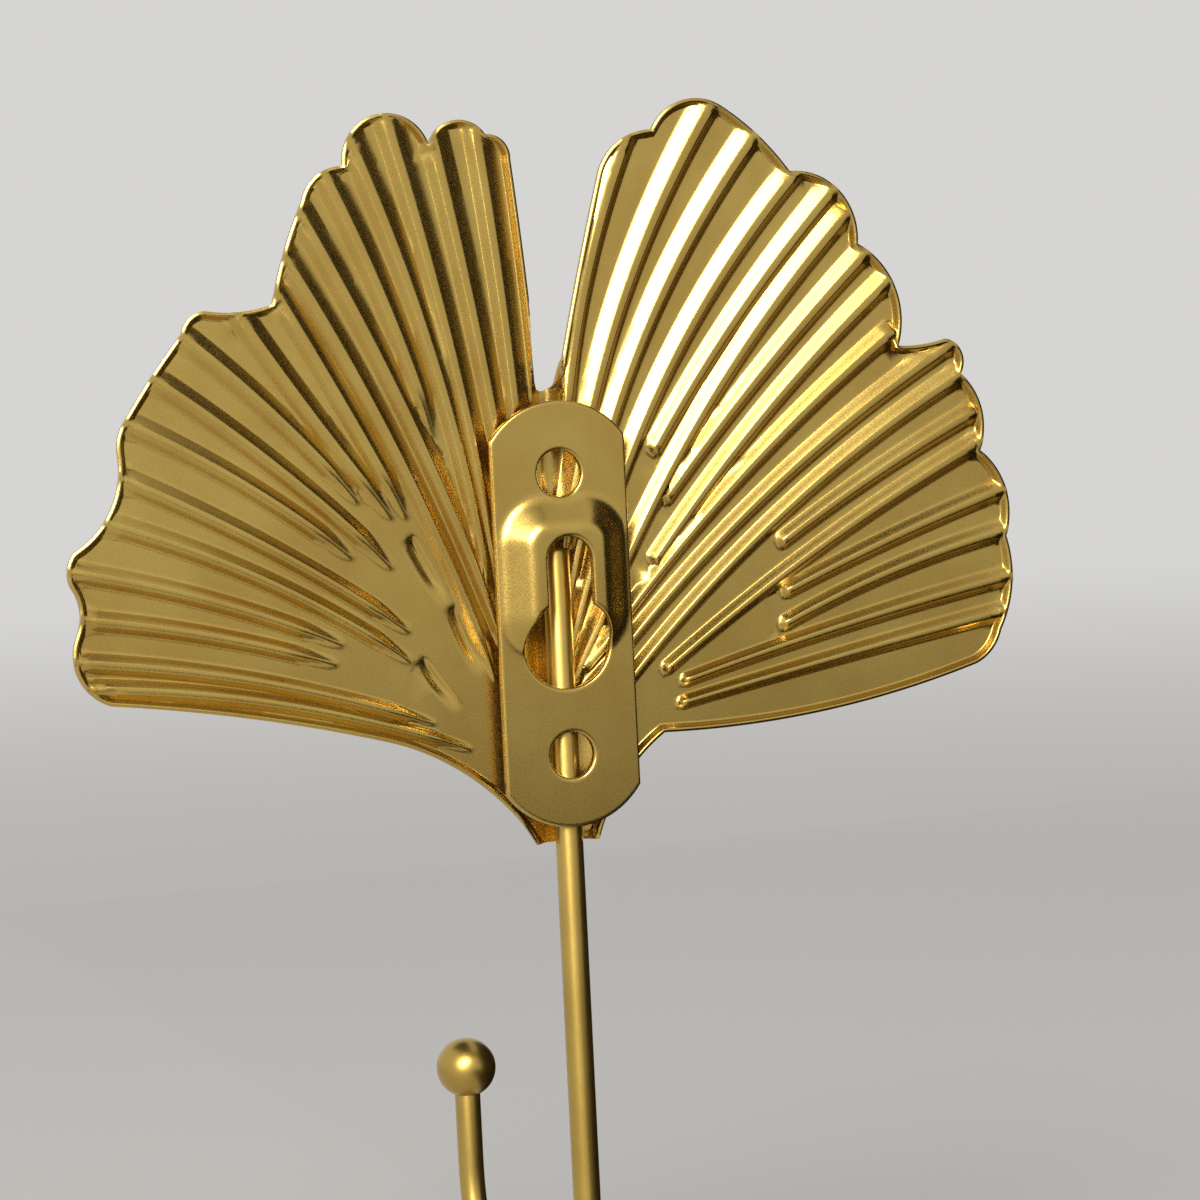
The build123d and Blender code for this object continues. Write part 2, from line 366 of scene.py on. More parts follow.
def plate_loops(step):
    """Outline of the hanger plate, its two round holes and its keyhole, as closed loops of points."""
    half_width = plate_high.x
    top, bottom = plate_high.z, plate_low.z
    middle = (top + bottom) / 2
    drop = PLATE_END_RADIUS - math.sqrt(PLATE_END_RADIUS ** 2 - half_width ** 2)
    corners = [(half_width, top - drop), (-half_width, top - drop),
               (-half_width, bottom + drop), (half_width, bottom + drop)]
    outline = arc_points(corners[0], (0.0, top), corners[1], step)
    outline += line_points(corners[1], corners[2], step)
    outline += arc_points(corners[2], (0.0, bottom), corners[3], step)
    outline += line_points(corners[3], corners[0], step)
    holes = [circle_points((0, middle + side * HOLE_PITCH / 2), HOLE_DIAMETER, step) for side in (1, -1)]
    half_slot = SLOT_WIDTH / 2
    neck = -KEYHOLE_DROP + math.sqrt((KEYHOLE_DIAMETER / 2) ** 2 - half_slot ** 2)
    lowest = -KEYHOLE_DROP - KEYHOLE_DIAMETER / 2
    keyhole = arc_points((half_slot, 0.0), (0.0, half_slot), (-half_slot, 0.0), step)
    keyhole += line_points((-half_slot, 0.0), (-half_slot, neck), step)
    keyhole += arc_points((-half_slot, neck), (0.0, lowest), (half_slot, neck), step)
    keyhole += line_points((half_slot, neck), (half_slot, 0.0), step)
    return [outline, *holes, keyhole]


def rim_distance(points, loops, closed=True):
    """Distance from each point to the nearest loop, or to the nearest open chain."""
    nearest = np.full(len(points), np.inf)
    for loop in loops:
        a = np.array(loop)
        d = np.roll(a, -1, axis=0) - a
        if not closed:
            a, d = a[:-1], d[:-1]
        length2 = (d * d).sum(1)
        for first in range(0, len(points), POINT_BLOCK):
            block = slice(first, first + POINT_BLOCK)
            rel = points[block, None, :] - a
            t = np.clip((rel * d).sum(2) / length2, 0, 1)
            gap = np.sqrt(((rel - t[..., None] * d) ** 2).sum(2)).min(1)
            nearest[block] = np.minimum(nearest[block], gap)
    return nearest


def inside(points, loop):
    """Which points lie inside a closed loop."""
    x, z = points[:, 0], points[:, 1]
    found = np.zeros(len(points), bool)
    for (ax, az), (bx, bz) in zip(loop, loop[1:] + loop[:1]):
        if az == bz:
            continue
        crosses = (az > z) != (bz > z)
        found ^= crosses & (x < (bx - ax) * (z - az) / (bz - az) + ax)
    return found


def inset_points(loop, distances, keep_side):
    """Copies of a loop moved inwards (keep_side 1) or outwards (-1), for rows of mesh along an edge."""
    a = np.array(loop)
    along = np.roll(a, -1, axis=0) - np.roll(a, 1, axis=0)
    along /= np.linalg.norm(along, axis=1)[:, None]
    area = (a[:, 0] * np.roll(a[:, 1], -1) - np.roll(a[:, 0], -1) * a[:, 1]).sum()
    turn = keep_side * (1 if area > 0 else -1)
    normal = np.stack((-along[:, 1], along[:, 0]), axis=1) * turn
    rows = []
    for distance in distances:
        row = a + normal * distance
        rows.append(row[rim_distance(row, [loop]) > ROW_SLACK * distance])
    return np.concatenate(rows)


def soft_ramp(low, high, value, rounding=0.15):
    """Straight ramp from 0 at low to 1 at high, with both ends rounded."""
    t = np.clip((value - low) / (high - low), 0, 1)
    foot = t * t / (2 * rounding)
    crest = (1 - rounding) - (1 - t) ** 2 / (2 * rounding)
    return np.where(t < rounding, foot, np.where(t > 1 - rounding, crest, t - rounding / 2)) / (1 - rounding)


def smooth_step(low, high, value):
    """Smooth ramp from 0 at low to 1 at high."""
    t = np.clip((value - low) / (high - low), 0, 1)
    return t * t * (3 - 2 * t)


# Ribs and dimples, each with the side that it is on: 1 for the left lobe and -1 for the right one

def side_lines(left, right):
    """Lines of both lobes, each with the side that it is on."""
    return [(1, *line) for line in left] + [(-1, *line) for line in right]


def along_rib(points, side, start, end, bow):
    """Distance along a rib from its start, and offset from its middle as a share of its half width."""
    length = math.dist(start, end)
    along_x, along_z = (end[0] - start[0]) / length, (end[1] - start[1]) / length
    x, z = side * points[:, 0] - start[0], points[:, 1] - start[1]
    along = x * along_x + z * along_z
    place = along / length
    lean = 2 * math.atan(2 * bow / length) * (1 - 2 * place)
    off = (z * along_x - x * along_z - 4 * bow * place * (1 - place)) * np.cos(lean)
    half_width = RIB_FOOT + RIB_GROWTH * np.hypot(points[:, 0], points[:, 1] - base_height)
    return along, off / half_width


def beside_rib(side, start, end, bow, along, share):
    """Point at a distance along a rib and at a share of its half width beside it."""
    length = math.dist(start, end)
    along_x, along_z = (end[0] - start[0]) / length, (end[1] - start[1]) / length
    place = along / length
    rise = 4 * bow * place * (1 - place)
    x = start[0] + along_x * along - along_z * rise
    z = start[1] + along_z * along + along_x * rise
    lean = 2 * math.atan(2 * bow / length) * (1 - 2 * place)
    off = share * (RIB_FOOT + RIB_GROWTH * math.hypot(x, z - base_height))
    x -= off * (along_z * math.cos(lean) + along_x * math.sin(lean))
    z += off * (along_x * math.cos(lean) - along_z * math.sin(lean))
    return side * x, z


def notch_foot(start, end):
    """Where a rib's flank towards the notch ends, as a share of its half width."""
    upright = (end[1] - start[1]) / math.dist(start, end)
    return NOTCH_FOOT + NOTCH_FOOT_UPRIGHT * upright ** 2


def rib_shape(points, rib):
    """How far each point stands up one rib, from 0 at its foot to 1 on its crest.

    A rib of the left lobe grows out of the land, and one of the right lobe starts with a blunt end.
    """
    side, start, end, _ = rib
    along, share = along_rib(points, *rib)
    rise = np.clip(along / LEFT_TAPER, 0, 1) if side > 0 else smooth_step(0, RIB_END, along)
    width = TAPER_WIDTH + (1 - TAPER_WIDTH) * rise
    foot = np.where(share > 0, notch_foot(start, end), OUTER_FOOT)
    flank = 1 - soft_ramp(RIB_CREST, foot, np.abs(share) / width)
    fall = smooth_step(0, RIB_END, math.dist(start, end) - along)
    return np.where(side * points[:, 0] > 0, flank * rise * fall, 0)


def dimple_shape(points, dimple):
    """How deep each point lies in one dimple, from 0 at its edge to 1 on its floor."""
    side, start, end, _ = dimple
    along, share = along_rib(points, *dimple)
    wall = np.where(share > 0, DIMPLE_OUTER, DIMPLE_INNER)
    across = 1 - soft_ramp(DIMPLE_FLOOR, wall, np.abs(share))
    ends = smooth_step(0, DIMPLE_START, along) * smooth_step(0, DIMPLE_END, math.dist(start, end) - along)
    return np.where(side * points[:, 0] > 0, across * ends, 0)


def highest(shape, points, lines):
    """Largest value of a shape over all its lines, at each point."""
    return np.max([shape(points, line) for line in lines], axis=0)


def nearest_rib(points, ribs):
    """Number of the rib that each point lies closest to, by the share of its half width."""
    shares = []
    for rib in ribs:
        side, start, end, _ = rib
        along, share = along_rib(points, *rib)
        past = np.maximum(np.maximum(-along, along - math.dist(start, end)), 0)
        shares.append(np.where(side * points[:, 0] > 0, np.hypot(share, past), np.inf))
    return np.argmin(shares, axis=0)


# Mesh lines of the leaf

def clear_of_rim(points, loop, clear):
    """Which points lie inside a loop and at least a distance from it."""
    return inside(points, loop) & (rim_distance(points, [loop]) > clear)


def kept_runs(points, keep):
    """Unbroken runs of the points that are kept."""
    runs = [[]]
    for point, wanted in zip(points, keep):
        if wanted:
            runs[-1].append(tuple(point))
        elif runs[-1]:
            runs.append([])
    return [run for run in runs if run]


def rib_mesh(ribs, loop):
    """Lines of mesh along every rib, each within the rib's own strip of the leaf and clear of the lip."""
    lines = []
    clear = LIP_LINES[-1] + LIP_CLEAR
    last_end = RIB_END_STEPS[-1]
    for number, rib in enumerate(ribs):
        _, start, end, _ = rib
        length = math.dist(start, end)
        stations = [*RIB_END_STEPS, *np.arange(last_end + RIB_STEP / 2, length - last_end, RIB_STEP)]
        stations += [length - step for step in reversed(RIB_END_STEPS)]
        shares = [-RIB_CREST - t * (OUTER_FOOT - RIB_CREST) for t in reversed(FLANK_LINES)]
        shares += [0.0] + [RIB_CREST + t * (notch_foot(start, end) - RIB_CREST) for t in FLANK_LINES]
        for share in shares:
            line = np.array([beside_rib(*rib, along, share) for along in stations])
            keep = clear_of_rim(line, loop, clear) & (nearest_rib(line, ribs) == number)
            lines += kept_runs(line, keep)
    return lines


def channel_mesh(loop):
    """Lines of mesh along the channel for the stem."""
    lines = []
    heights = np.arange(base_height + CHANNEL_STEP / 2, NOTCH_HEIGHT, CHANNEL_STEP)
    for across in np.linspace(-CHANNEL_REACH, CHANNEL_REACH, CHANNEL_LINES):
        line = np.array([(across * channel_half, z) for z in heights])
        lines += kept_runs(line, clear_of_rim(line, loop, RIM_CLEAR))
    return lines


def trough_mesh(ribs, loop):
    """Points of mesh on both sides of the channel, where no rib is raised."""
    lines = []
    heights = np.arange(base_height + RIM_STEP, TROUGH_TOP[1], TROUGH_STEP)
    for across in TROUGH_LINES:
        for side in (1, -1):
            row = np.array([(side * across, z) for z in heights])
            land = highest(rib_shape, row, ribs) == 0
            lines += [[p] for p in row[land & clear_of_rim(row, loop, RIM_CLEAR)]]
    return lines


# Pressed sheets

def deselect():
    """Leaves nothing selected, in object mode."""
    if bpy.context.object and bpy.context.object.mode != "OBJECT":
        bpy.ops.object.mode_set(mode="OBJECT")
    bpy.ops.object.select_all(action="DESELECT")


def select_only(piece):
    """Leaves one piece selected and active."""
    deselect()
    piece.select_set(True)
    bpy.context.view_layer.objects.active = piece


def pressed_sheet(name, loops, lines, depth, height, gauge):
    """Sheet cut to the loops, with mesh edges along the lines, pressed to a height and given its gauge."""
    points, edges = [], []
    for chain, closed in [(loop, True) for loop in loops] + [(line, False) for line in lines]:
        first = len(points)
        points += [Vector(p) for p in chain]
        edges += [(i, i + 1) for i in range(first, len(points) - 1)]
        if closed:
            edges.append((len(points) - 1, first))
    flat, _, faces, *_ = delaunay_2d_cdt(points, edges, [], CUT_TO_LOOPS, MERGE_GAP)
    flat = np.array([tuple(p) for p in flat])
    middles = np.array([flat[list(face)].mean(0) for face in faces])
    wanted = inside(middles, loops[0])
    for hole in loops[1:]:
        wanted &= ~inside(middles, hole)
    rise = height(flat)
    verts = [(x * MM, (y - depth) * MM, z * MM) for (x, z), y in zip(flat, rise)]
    kept = [tuple(reversed(face)) for face, keep in zip(faces, wanted) if keep]
    mesh = bpy.data.meshes.new(name)
    mesh.from_pydata(verts, [], kept)
    sheet = bpy.data.objects.new(name, mesh)
    bpy.context.scene.collection.objects.link(sheet)
    select_only(sheet)
    bpy.ops.object.mode_set(mode="EDIT")
    bpy.ops.mesh.select_all(action="SELECT")
    bpy.ops.mesh.delete_loose()
    bpy.ops.mesh.select_all(action="SELECT")
    bpy.ops.mesh.extrude_region_move(TRANSFORM_OT_translate={"value": (0, -gauge * MM, 0)})
    bpy.ops.mesh.select_all(action="SELECT")
    bpy.ops.mesh.normals_make_consistent(inside=False)
    bpy.ops.object.mode_set(mode="OBJECT")
    return sheet


def round_edges(piece, width):
    """Rounds a piece's sharp edges."""
    select_only(piece)
    bevel = piece.modifiers.new("edge", "BEVEL")
    bevel.width = width * MM
    bevel.segments = EDGE_SEGMENTS
    bevel.limit_method = "ANGLE"
    bevel.angle_limit = math.radians(EDGE_ANGLE)
    bpy.ops.object.modifier_apply(modifier=bevel.name)


def shade(piece, angle):
    """Smooth shading, with edges sharper than the angle left hard."""
    select_only(piece)
    bpy.ops.object.shade_smooth_by_angle(angle=math.radians(angle))


def finish_piece(piece, node, material):
    """Puts a finished piece in place of its CAD node."""
    piece.data.materials.clear()
    piece.data.materials.append(material)
    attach(piece, "root")
    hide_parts(node)


# Materials

def linear(hex_colour):
    """Linear colour of an sRGB hex value."""
    channels = [int(hex_colour[i:i + 2], 16) / 255 for i in (1, 3, 5)]
    return [c / 12.92 if c <= 0.04045 else ((c + 0.055) / 1.055) ** 2.4 for c in channels] + [1.0]


def add_node(tree, kind, inputs=None, **settings):
    """Adds a node, sets it and links or fills its inputs."""
    node = tree.nodes.new(kind)
    for key, value in settings.items():
        setattr(node, key, value)
    for key, value in (inputs or {}).items():
        if isinstance(value, bpy.types.NodeSocket):
            tree.links.new(value, node.inputs[key])
        else:
            node.inputs[key].default_value = value
    return node


def empty_material(name):
    """New material with an empty node tree."""
    material = bpy.data.materials.new(name)
    material.use_nodes = True
    material.node_tree.nodes.clear()
    return material


def per_mm(size):
    """Texture scale at which a feature of this size in millimetres fills one cell."""
    return 1 / (size * MM)


def spread(tree, value, low, high):
    """Spreads the middle part of a noise over the full range."""
    node = add_node(tree, "ShaderNodeMapRange", {"Value": value, "From Min": low, "From Max": high})
    return node.outputs["Result"]


def satin_gold(name, finish, roughness):
    """Gold coating over pressed steel, matt-tumbled and under a thin clear lacquer.

    It gives a soft broad highlight, a fine grain that breaks it up, and a slightly browner tone in patches.
    """
    material = empty_material(name)
    tree = material.node_tree
    place = add_node(tree, "ShaderNodeTexCoord").outputs["Object"]
    patches = add_node(tree, "ShaderNodeTexNoise", {
        "Vector": place,
        "Scale": per_mm(PATCH_SIZE),
        "Detail": PATCH_DETAIL,
    })
    grain = add_node(tree, "ShaderNodeTexNoise", {
        "Vector": place,
        "Scale": per_mm(GRAIN_SIZE),
        "Detail": GRAIN_DETAIL,
    })
    tone = spread(tree, patches.outputs["Fac"], *PATCH_RANGE)
    speckle = spread(tree, grain.outputs["Fac"], *GRAIN_RANGE)
    body = add_node(tree, "ShaderNodeMix", data_type="RGBA")
    tree.links.new(tone, body.inputs["Factor"])
    body.inputs["A"].default_value = linear(finish.gold)
    body.inputs["B"].default_value = linear(finish.deep_gold)
    rough = add_node(tree, "ShaderNodeMapRange", {
        "Value": speckle,
        "To Min": roughness + ROUGHNESS_SPREAD[0],
        "To Max": roughness + ROUGHNESS_SPREAD[1],
    })
    bump = add_node(tree, "ShaderNodeBump", {
        "Height": speckle,
        "Strength": finish.grain,
        "Distance": GRAIN_DEPTH * MM,
    })
    shader = add_node(tree, "ShaderNodeBsdfPrincipled", {
        "Base Color": body.outputs["Result"],
        "Metallic": 1.0,
        "Roughness": rough.outputs["Result"],
        "Normal": bump.outputs["Normal"],
        "Coat Weight": finish.lacquer,
        "Coat Roughness": LACQUER_ROUGHNESS,
    })
    add_node(tree, "ShaderNodeOutputMaterial", {"Surface": shader.outputs["BSDF"]})
    return material


def studio_paper(name, colour, backdrop):
    """Seamless studio paper: matt, so it takes a soft shadow, and far off it takes the backdrop's tone."""
    material = empty_material(name)
    tree = material.node_tree
    place = add_node(tree, "ShaderNodeTexCoord").outputs["Object"]
    radius = add_node(tree, "ShaderNodeVectorMath", {0: place}, operation="LENGTH")
    far = add_node(tree, "ShaderNodeMapRange", {
        "Value": radius.outputs["Value"],
        "From Min": PAPER_FADE[0],
        "From Max": PAPER_FADE[1],
    }, interpolation_type="SMOOTHSTEP")
    paper = add_node(tree, "ShaderNodeBsdfPrincipled", {
        "Base Color": linear(colour),
        "Roughness": PAPER_ROUGHNESS,
        "Specular IOR Level": PAPER_SPECULAR,
    })
    tone = add_node(tree, "ShaderNodeEmission", {"Color": linear(backdrop), "Strength": 1.0})
    sweep = add_node(tree, "ShaderNodeMixShader", {
        0: far.outputs["Result"],
        1: paper.outputs["BSDF"],
        2: tone.outputs["Emission"],
    })
    add_node(tree, "ShaderNodeOutputMaterial", {"Surface": sweep.outputs["Shader"]})
    return material


def black_card(name, colour):
    """Black card: it gives the metal something dark to show on the sides turned away from the light."""
    material = bpy.data.materials.new(name)
    material.use_nodes = True
    shader = material.node_tree.nodes["Principled BSDF"]
    shader.inputs["Base Color"].default_value = linear(colour)
    shader.inputs["Roughness"].default_value = 1.0
    shader.inputs["Specular IOR Level"].default_value = 0.0
    return material


# Settings

class WallHookSizes(bpy.types.PropertyGroup):
    """Sizes of the pressed sheets and cut edges that a user may change."""

    sheet_gauge: FloatProperty(name="Leaf gauge", description="Thickness of the leaf, mm",
                               default=0.6, min=0.2)
    rib_height: FloatProperty(name="Rib height", description="Height of the pressed ribs, mm",
                              default=0.8, min=0.1)
    dimple_depth: FloatProperty(name="Dimple depth", description="Depth of the short dimples, mm",
                                default=0.45, min=0.1)
    boss_height: FloatProperty(name="Boss height", description="Height of the plate's boss, mm",
                               default=2.2, min=0.1)
    edge_radius: FloatProperty(name="Edge radius", description="Rounding of cut edges, mm",
                               default=0.28, min=0.01)


class WallHookFinish(bpy.types.PropertyGroup):
    """Colours and surface of the gold coating."""

    gold: StringProperty(name="Gold", description="Main colour, sRGB hex", default="#CBAC55")
    deep_gold: StringProperty(name="Deep gold", description="Browner patches, sRGB hex", default="#C19F4A")
    sheet_roughness: FloatProperty(name="Sheet roughness", default=0.26, min=0, max=1,
                                   description="Softness of the pressed sheets' highlights")
    wire_roughness: FloatProperty(name="Wire roughness", default=0.34, min=0, max=1,
                                  description="Softness of the wire's and ball's highlights")
    lacquer: FloatProperty(name="Lacquer", description="Amount of clear lacquer", default=0.6, min=0, max=1)
    grain: FloatProperty(name="Grain", description="Strength of the fine grain", default=0.06, min=0, max=1)


class WallHookStage(bpy.types.PropertyGroup):
    """Floor, cards and camera."""

    paper: StringProperty(name="Paper", description="Colour of the floor, sRGB hex", default="#CBCAC8")
    backdrop: StringProperty(name="Backdrop", description="Colour all round, sRGB hex", default="#D6D5D3")
    card: StringProperty(name="Card", description="Colour of the black cards, sRGB hex", default="#170E06")
    camera_distance: FloatProperty(name="Distance", description="Camera to screw seat, mm", default=430.0)
    pixel_size: FloatProperty(name="Pixel", description="Size of a pixel at the screw seat, mm",
                              default=0.107)
    azimuth: FloatProperty(name="Azimuth", description="Camera's turn from the wall side", subtype="ANGLE",
                           default=math.radians(20))
    elevation: FloatProperty(name="Elevation", description="Camera's height angle", subtype="ANGLE",
                             default=math.radians(4))
    roll: FloatProperty(name="Roll", description="Camera's roll", subtype="ANGLE", default=math.radians(-2.8))
    seat_pixel: FloatVectorProperty(name="Seat pixel", description="Where the screw seat falls in the frame",
                                    size=2, default=(570.5, 560.0))


# Pieces

class WALLHOOK_OT_leaf(bpy.types.Operator):
    """Press the fluted leaf with its turned lip and the channel for the stem"""

    bl_idname = "wallhook.leaf"
    bl_label = "Press leaf"

    def execute(self, context):
        sizes = context.scene.wallhook_sizes
        loop = leaf_loop(RIM_STEP)
        turned_rim = leaf_rims(RIM_STEP)
        ribs = side_lines(LEFT_RIBS, RIGHT_RIBS)
        dimples = side_lines(LEFT_DIMPLES, ())
        lines = [[p] for p in inset_points(loop, LIP_LINES, 1)]
        lines += rib_mesh(ribs + dimples, loop)
        lines += channel_mesh(loop)
        lines += trough_mesh(ribs, loop)

        def height(points):
            raised = highest(rib_shape, points, ribs)
            sunk = highest(dimple_shape, points, dimples)
            gap = rim_distance(points, turned_rim, closed=False)
            lip = 1 - soft_ramp(*LIP_FLANK, gap) - LIP_EDGE_DROP * (1 - smooth_step(0.0, LIP_EDGE, gap))
            across = points[:, 0] / channel_half
            channel = np.sqrt(np.clip(1 - across ** 2, 0, 1)) * (wire_radius + CHANNEL_DEPTH_ROOM)
            trough = 1 - soft_ramp(wire_radius, TROUGH_HALF_WIDTH, np.abs(points[:, 0]), TROUGH_ROUNDING)
            trough = trough * (1 - smooth_step(*TROUGH_TOP, points[:, 1])) * TROUGH_DEPTH
            dip = np.maximum(channel, trough)
            return np.maximum(raised, lip) * sizes.rib_height - sunk * sizes.dimple_depth - dip

        depth = -leaf_high.y + LAND_DROP
        leaf = pressed_sheet("leaf_sheet", [loop], lines, depth, height, sizes.sheet_gauge)
        shade(leaf, SOFT_CREASE)
        finish = context.scene.wallhook_finish
        finish_piece(leaf, "leaf", satin_gold("satin_gold_leaf", finish, finish.sheet_roughness))
        return {"FINISHED"}


class WALLHOOK_OT_plate(bpy.types.Operator):
    """Stamp the hanger plate with its soft boss, two holes and keyhole"""

    bl_idname = "wallhook.plate"
    bl_label = "Stamp hanger plate"

    def execute(self, context):
        sizes = context.scene.wallhook_sizes
        loops = plate_loops(PLATE_STEP)
        outline = loops[0]

        def boss(points):
            x = np.abs(points[:, 0]) - BOSS_FOOT[0] / 2 + BOSS_FOOT_CORNER
            z = np.abs(points[:, 1] - BOSS_CENTRE) - BOSS_FOOT[1] / 2 + BOSS_FOOT_CORNER
            corner = np.hypot(np.maximum(x, 0), np.maximum(z, 0)) + np.minimum(np.maximum(x, z), 0)
            return sizes.boss_height * soft_ramp(0, BOSS_FLANK, BOSS_FOOT_CORNER - corner, BOSS_ROUNDING)

        across = np.arange(-plate_high.x, plate_high.x, PLATE_STEP)
        up = np.arange(plate_low.z, plate_high.z, PLATE_STEP)
        rows = np.stack(np.meshgrid(across, up), axis=2).reshape(-1, 2)
        rows = rows[inside(rows, outline) & (rim_distance(rows, loops) > PLATE_GRID_CLEAR)]
        for hole in loops[1:]:
            rows = rows[~inside(rows, hole)]
        edges = [inset_points(loop, (PLATE_EDGE_ROW,), 1 if loop is outline else -1) for loop in loops]
        lines = [[p] for p in np.concatenate([rows, *edges])]
        plate = pressed_sheet("stamped_plate", loops, lines, sizes.boss_height, boss, PLATE_GAUGE)
        round_edges(plate, sizes.edge_radius)
        shade(plate, CUT_CREASE)
        finish = context.scene.wallhook_finish
        finish_piece(plate, "hanger_plate", satin_gold("satin_gold_plate", finish, finish.sheet_roughness))
        return {"FINISHED"}


def wire_end_height():
    """Height of the closed end of the ball's socket, where the wire ends."""
    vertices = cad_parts["hook_wire"].data.vertices
    return max(v.co.z for v in vertices if v.co.y / MM < -upright_depth + wire_radius) / MM


class WALLHOOK_OT_wire(bpy.types.Operator):
    """Draw the round wire down the stem, round the bend and up to the ball"""

    bl_idname = "wallhook.wire"
    bl_label = "Bend hook wire"

    def execute(self, context):
        bend_height = wire_low.z + wire_radius + hook_reach / 2
        bend_centre = (0, -(wire_depth + hook_reach / 2) * MM, bend_height * MM)
        stem = (0, 0, (bend_height - wire_top) * MM)
        upright = (0, 0, (wire_end_height() - bend_height) * MM)
        deselect()
        bpy.ops.mesh.primitive_circle_add(vertices=WIRE_SIDES, radius=wire_radius * MM, fill_type="NGON",
                                          location=(0, -wire_depth * MM, wire_top * MM))
        wire = bpy.context.object
        wire.name = "bent_wire"
        bpy.ops.object.transform_apply(location=True, rotation=True, scale=True)
        bpy.ops.object.mode_set(mode="EDIT")
        bpy.ops.mesh.select_all(action="SELECT")
        bpy.ops.mesh.extrude_region_move(TRANSFORM_OT_translate={"value": stem})
        bpy.ops.mesh.spin(steps=BEND_STEPS, angle=math.pi, center=bend_centre, axis=(1, 0, 0))
        bpy.ops.mesh.extrude_region_move(TRANSFORM_OT_translate={"value": upright})
        bpy.ops.mesh.select_all(action="SELECT")
        bpy.ops.mesh.remove_doubles(threshold=WELD_GAP * MM)
        bpy.ops.mesh.normals_make_consistent(inside=False)
        bpy.ops.object.mode_set(mode="OBJECT")
        round_edges(wire, context.scene.wallhook_sizes.edge_radius)
        shade(wire, CUT_CREASE)
        finish = context.scene.wallhook_finish
        finish_piece(wire, "hook_wire", satin_gold("satin_gold_wire", finish, finish.wire_roughness))
        return {"FINISHED"}


class WALLHOOK_OT_ball(bpy.types.Operator):
    """Turn the ball with a flat mouth where the wire enters it"""

    bl_idname = "wallhook.ball"
    bl_label = "Turn ball tip"

    def execute(self, context):
        centre = Vector((0, -upright_depth, ball_high.z - ball_radius)) * MM
        mouth = ball_low.z * MM
        socket = (0, 0, wire_end_height() * MM - mouth)
        deselect()
        bpy.ops.mesh.primitive_uv_sphere_add(segments=BALL_SEGMENTS, ring_count=BALL_RINGS,
                                             radius=ball_radius * MM, location=centre)
        ball = bpy.context.object
        ball.name = "turned_ball"
        bpy.ops.object.transform_apply(location=True, rotation=True, scale=True)
        bpy.ops.object.mode_set(mode="EDIT")
        bpy.ops.mesh.select_all(action="SELECT")
        bpy.ops.mesh.bisect(plane_co=(0, 0, mouth), plane_no=(0, 0, -1), clear_outer=True, use_fill=True)
        bpy.ops.mesh.inset(thickness=MOUTH_RIM * MM)
        bpy.ops.mesh.extrude_region_move(TRANSFORM_OT_translate={"value": socket})
        bpy.ops.mesh.select_all(action="SELECT")
        bpy.ops.mesh.normals_make_consistent(inside=False)
        bpy.ops.object.mode_set(mode="OBJECT")
        shade(ball, SOFT_CREASE)
        finish = context.scene.wallhook_finish
        finish_piece(ball, "ball_tip", satin_gold("satin_gold_ball", finish, finish.wire_roughness))
        return {"FINISHED"}


# Stage

def add_area_light(name, direction, distance, size, roll, power):
    """Soft box that shines on the leaf from a direction, rolled about its own axis."""
    lamp = bpy.data.lights.new(name, "AREA")
    lamp.shape = "RECTANGLE"
    lamp.size, lamp.size_y = (s * MM for s in size)
    lamp.energy = power
    lamp.color = linear(LAMP_COLOUR)[:3]
    light = bpy.data.objects.new(name, lamp)
    place = Vector(direction).normalized() * distance * MM
    light.location = place
    turned = place.to_track_quat("Z", "Y") @ Quaternion((0, 0, 1), math.radians(roll))
    light.rotation_euler = turned.to_euler()
    bpy.context.scene.collection.objects.link(light)
    return light


def add_card(name, corners, material):
    """Flat card that only reflections show."""
    mesh = bpy.data.meshes.new(name)
    mesh.from_pydata([Vector(corner) * MM for corner in corners], [], [(0, 1, 2, 3)])
    mesh.materials.append(material)
    card = bpy.data.objects.new(name, mesh)
    card.visible_camera = False
    card.visible_diffuse = False
    card.visible_shadow = False
    bpy.context.scene.collection.objects.link(card)


def level_corners(x, y, z):
    """Corners of a level card."""
    return [(x[0], y[0], z), (x[0], y[1], z), (x[1], y[1], z), (x[1], y[0], z)]


def side_corners(x, y, z):
    """Corners of a card that stands across X."""
    return [(x, y[0], z[0]), (x, y[1], z[0]), (x, y[1], z[1]), (x, y[0], z[1])]


